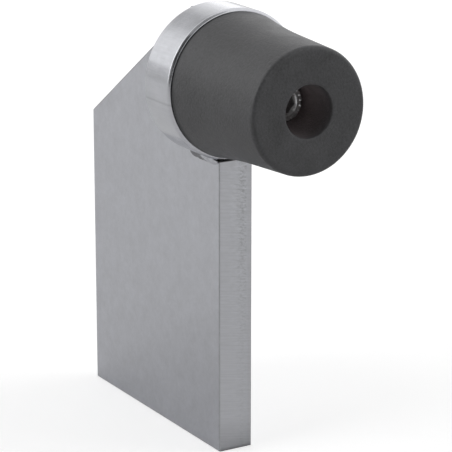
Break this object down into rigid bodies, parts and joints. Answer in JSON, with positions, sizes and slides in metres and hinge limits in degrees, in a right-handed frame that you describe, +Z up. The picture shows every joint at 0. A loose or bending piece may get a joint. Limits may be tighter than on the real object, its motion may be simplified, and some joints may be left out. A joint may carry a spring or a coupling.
{
  "type": "gate stop",
  "caption": "Weld-on stop for a gate: a steel plate on edge with a turned disc in its notch and a flared rubber buffer screwed to the disc.",
  "frame": {"origin": "middle of the plate's lower edge, the foot that is welded down", "axes": "+Z up along the plate's height, -Y the way the buffer points (towards the gate), +X across the plate's thickness"},
  "size_m": [0.04, 0.105, 0.12],
  "materials": {
    "plate_steel": "satin, lightly ground flat stock",
    "turned_steel": "fine turned",
    "weld_metal": "weld bead, wire brushed",
    "rubber": "matt moulded",
    "zinc_plate": "bright zinc plated"
  },
  "bodies": {
    "root": {"plate": "plate_steel", "buffer_disc": "turned_steel", "weld_left": "weld_metal", "weld_right": "weld_metal", "rubber_buffer": "rubber", "flat_washer": "zinc_plate", "cap_screw": "zinc_plate"}
  },
  "joints": []
}
